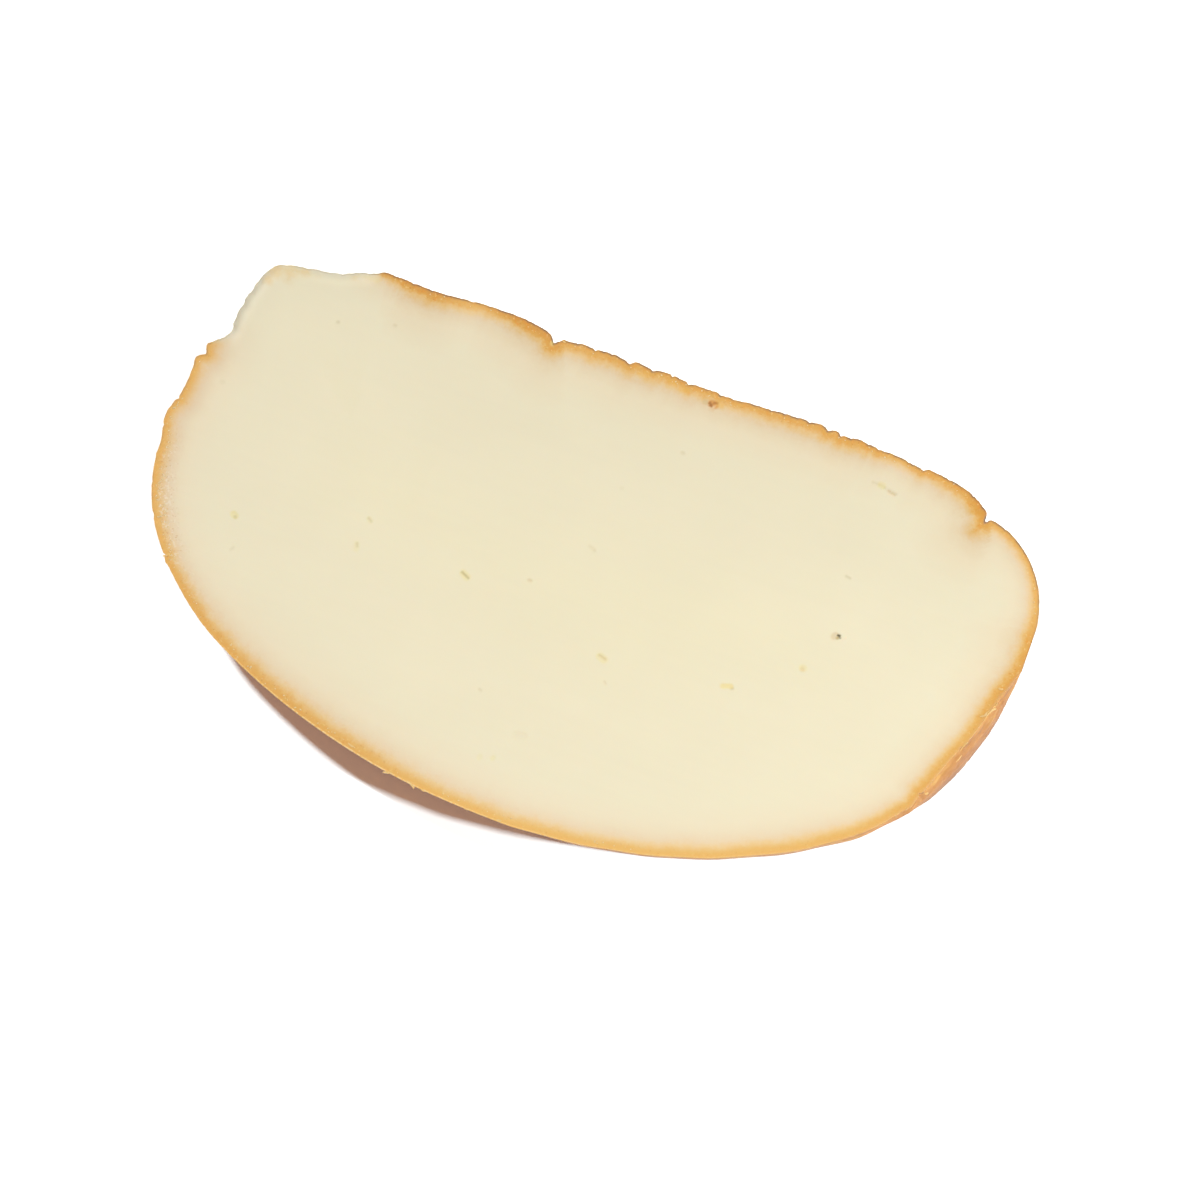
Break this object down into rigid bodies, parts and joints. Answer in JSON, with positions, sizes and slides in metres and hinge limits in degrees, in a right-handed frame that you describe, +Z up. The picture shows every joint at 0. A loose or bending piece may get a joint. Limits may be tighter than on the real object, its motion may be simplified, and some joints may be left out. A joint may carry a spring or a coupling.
{
  "type": "cheese slice",
  "caption": "D-shaped slice of smoked cheese with pale cut faces, a golden-brown creased rind round its edge and a torn corner, lying flat.",
  "frame": {"origin": "centre of the slice's outline box, on the surface that it lies on", "axes": "+X along the flat creased side, +Y towards that side, +Z up through the slice's thickness"},
  "size_m": [0.1202, 0.0658, 0.009],
  "materials": {
    "cheese": "satin"
  },
  "bodies": {
    "root": {"cheese_slice": "cheese"}
  },
  "joints": []
}
